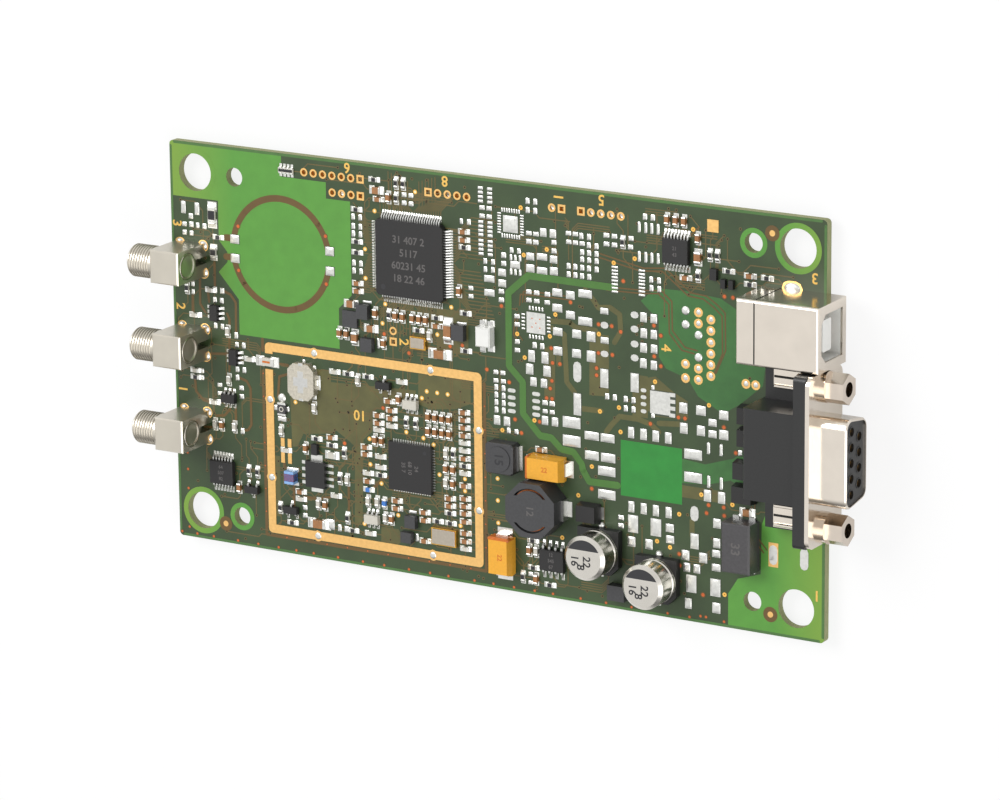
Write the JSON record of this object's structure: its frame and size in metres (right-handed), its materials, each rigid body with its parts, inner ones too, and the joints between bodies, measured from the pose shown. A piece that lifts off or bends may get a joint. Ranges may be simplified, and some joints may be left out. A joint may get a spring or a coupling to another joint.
{
  "type": "uhf rfid reader module",
  "caption": "Bare reader circuit board with antenna jacks on one short edge and a square data jack and serial connector on the other.",
  "frame": {"origin": "centre of the four large corner holes, on the underside of the board", "axes": "+Z out of the component side, +X along the board to the serial connector, +Y along the short side towards the header holes"},
  "size_m": [0.1482, 0.0754, 0.0154],
  "materials": {
    "green_laminate": "green solder mask, satin gloss",
    "gold_plate": "gold-plated copper, satin",
    "tinned_copper": "tinned copper, satin",
    "nickel_brass": "nickel-plated brass, satin",
    "nickel_steel": "nickel-plated steel, polished",
    "contact_gold": "gold-plated contacts",
    "white_plastic": "white moulded plastic",
    "black_plastic": "black moulded plastic",
    "insulator_white": "white insulator",
    "black_epoxy": "matt black moulding epoxy",
    "white_epoxy": "pale moulding epoxy",
    "tantalum_yellow": "orange moulded case",
    "grey_ferrite": "dark grey ferrite",
    "raw_aluminium": "bright aluminium can",
    "brown_ceramic": "brown ceramic",
    "black_resistor": "black glazed ceramic chip",
    "white_ceramic": "white ceramic",
    "blue_ceramic": "blue coated chip",
    "crystal_metal": "gold-rimmed ceramic package"
  },
  "bodies": {
    "root": {"antenna_jack_1_body": "nickel_brass", "antenna_jack_1_contact": "contact_gold", "antenna_jack_1_insulator": "insulator_white", "antenna_jack_2_body": "nickel_brass", "antenna_jack_2_contact": "contact_gold", "antenna_jack_2_insulator": "insulator_white", "antenna_jack_3_body": "nickel_brass", "antenna_jack_3_contact": "contact_gold", "antenna_jack_3_insulator": "insulator_white", "block_inductor_body": "grey_ferrite", "blue_chips": "blue_ceramic", "board": "green_laminate", "buffer_chip_body": "black_epoxy", "capacitor_terminals": "tinned_copper", "chip_capacitors": "brown_ceramic", "chip_leads": "tinned_copper", "chip_resistors": "black_resistor", "choke_body": "grey_ferrite", "circulator_body": "grey_ferrite", "coupler_body": "white_plastic", "crystals": "crystal_metal", "dark_blocks": "grey_ferrite", "diode_bodies": "black_epoxy", "diode_terminals": "tinned_copper", "dsub_brackets": "nickel_steel", "dsub_contacts": "contact_gold", "dsub_flange_shell": "nickel_steel", "dsub_housing": "black_plastic", "dsub_insert": "black_plastic", "electrolytic_bases": "black_plastic", "electrolytic_can_1": "raw_aluminium", "electrolytic_can_2": "raw_aluminium", "gold_contacts": "gold_plate", "inductor_terminals": "tinned_copper", "interface_chip_body": "black_epoxy", "jackscrew_lower": "nickel_brass", "jackscrew_upper": "nickel_brass", "logic_chip_body": "black_epoxy", "microcontroller_body": "black_epoxy", "microcontroller_leads": "tinned_copper", "power_chip_body": "black_epoxy", "power_chip_metal": "tinned_copper", "power_inductor_core": "grey_ferrite", "radio_chip": "black_epoxy", "shield_track": "gold_plate", "small_package_leads": "tinned_copper", "switch_bodies": "black_epoxy", "tantalum_capacitor_1": "tantalum_yellow", "tantalum_capacitor_2": "tantalum_yellow", "tinned_pads": "tinned_copper", "transistor_bodies": "black_epoxy", "usb_contacts": "contact_gold", "usb_housing": "white_plastic", "usb_shell": "nickel_steel", "white_chip_bodies": "white_epoxy", "white_chips": "white_ceramic", "wound_coil": "blue_ceramic"}
  },
  "joints": []
}
